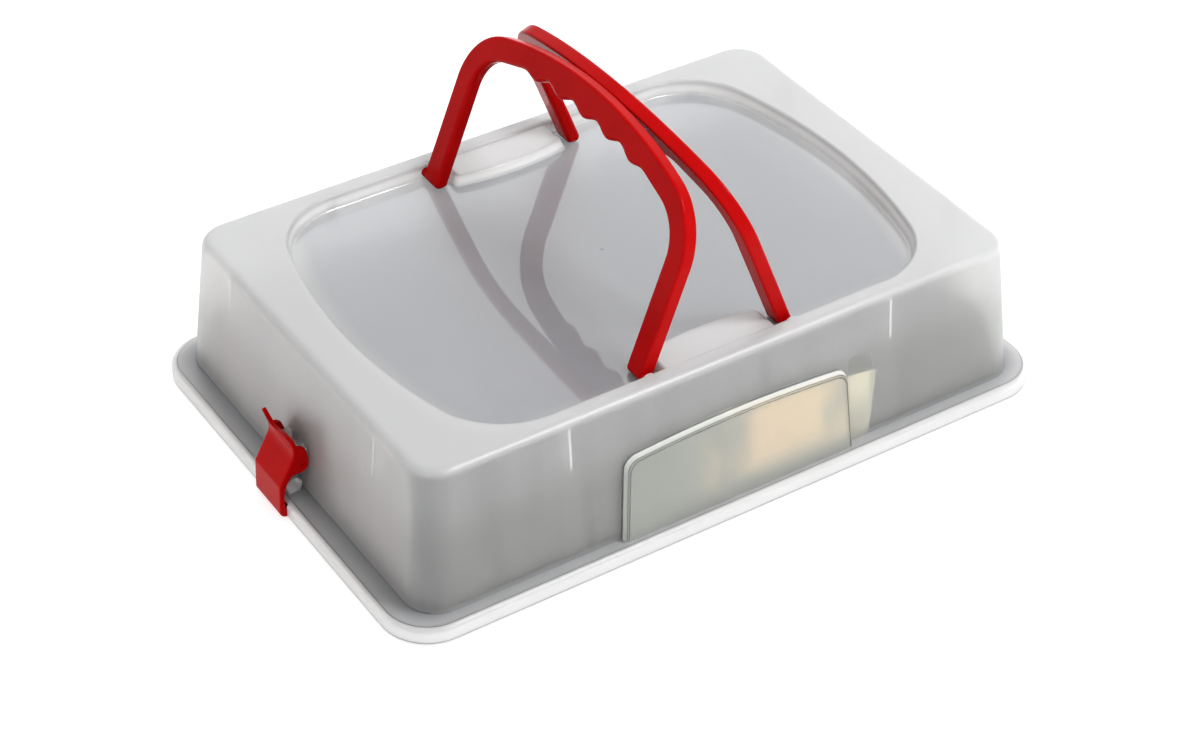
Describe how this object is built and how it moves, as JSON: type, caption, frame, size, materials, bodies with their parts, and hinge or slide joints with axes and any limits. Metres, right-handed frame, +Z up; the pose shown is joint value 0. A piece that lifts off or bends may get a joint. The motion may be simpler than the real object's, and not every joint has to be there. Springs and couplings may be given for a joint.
{
  "type": "baking pan with lid",
  "caption": "Rectangular steel baking pan stowed upside down under a tall translucent carrying lid with folding red bail handles and rocker clips.",
  "frame": {"origin": "centre of the footprint on the table, under the rim of the pan", "axes": "+X along the long side, +Y to the back (the window pad is on the -Y wall), +Z up"},
  "size_m": [0.4072, 0.276, 0.1871],
  "materials": {
    "lid_plastic": "frosted translucent polypropylene",
    "red_plastic": "glossy moulded plastic",
    "pan_coating": "dark non-stick coating on sheet steel",
    "rim_wire": "drawn steel wire",
    "card": "coated paper card"
  },
  "bodies": {
    "pan": {"pan_body": "pan_coating", "pan_rim_wire": "rim_wire"},
    "lid": {"lid_shell": "lid_plastic", "label_card": "card"},
    "handle_left": {"handle_left": "red_plastic"},
    "handle_right": {"handle_right": "red_plastic"},
    "clip_left": {"clip_left": "red_plastic"},
    "clip_right": {"clip_right": "red_plastic"}
  },
  "joints": [
    {"name": "lid_lift", "type": "slide", "parent": "pan", "child": "lid", "axis": [0, 0, 1], "range_m": [0, 0.12]},
    {"name": "handle_left_fold", "type": "hinge", "parent": "lid", "child": "handle_left", "pos_m": [-0.04365, 0, 0.08595], "axis": [0, -1, 0], "range_deg": [0, 111.1]},
    {"name": "handle_right_fold", "type": "hinge", "parent": "lid", "child": "handle_right", "pos_m": [0.04365, 0, 0.08595], "axis": [0, 1, 0], "range_deg": [0, 111.76]},
    {"name": "clip_left_rock", "type": "hinge", "parent": "lid", "child": "clip_left", "pos_m": [-0.1891, 0, 0.0317], "axis": [0, 1, 0], "range_deg": [0, 16]},
    {"name": "clip_right_rock", "type": "hinge", "parent": "lid", "child": "clip_right", "pos_m": [0.1891, 0, 0.0317], "axis": [0, -1, 0], "range_deg": [0, 16]}
  ]
}
